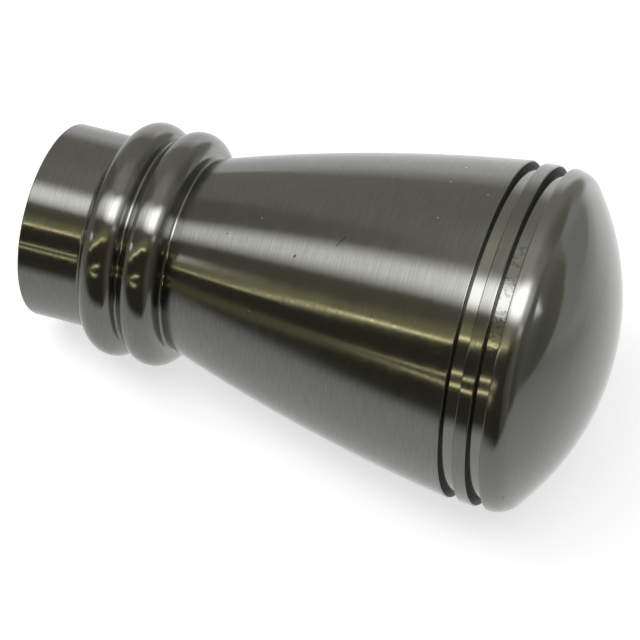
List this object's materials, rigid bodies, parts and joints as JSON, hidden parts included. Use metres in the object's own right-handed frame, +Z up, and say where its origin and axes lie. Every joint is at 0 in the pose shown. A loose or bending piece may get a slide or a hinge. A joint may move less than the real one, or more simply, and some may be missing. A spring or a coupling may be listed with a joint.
{
  "type": "curtain pole finial",
  "caption": "Turned metal finial for a round curtain pole, with a plain socket collar, half-round beads, a flared body and a grooved cap with a shallow domed end.",
  "frame": {"origin": "centre of the socket's mouth, on the finial's axis, in the plane of the collar's end face", "axes": "+X along the finial's axis, from the pole towards the domed end; +Z up, with the pole level as it hangs; +Y completes a right-handed frame"},
  "size_m": [0.0946, 0.0554, 0.0552],
  "materials": {
    "gunmetal": "dark gunmetal plating, brushed round the axis to a satin shine"
  },
  "bodies": {
    "root": {"finial_body": "gunmetal"}
  },
  "joints": []
}
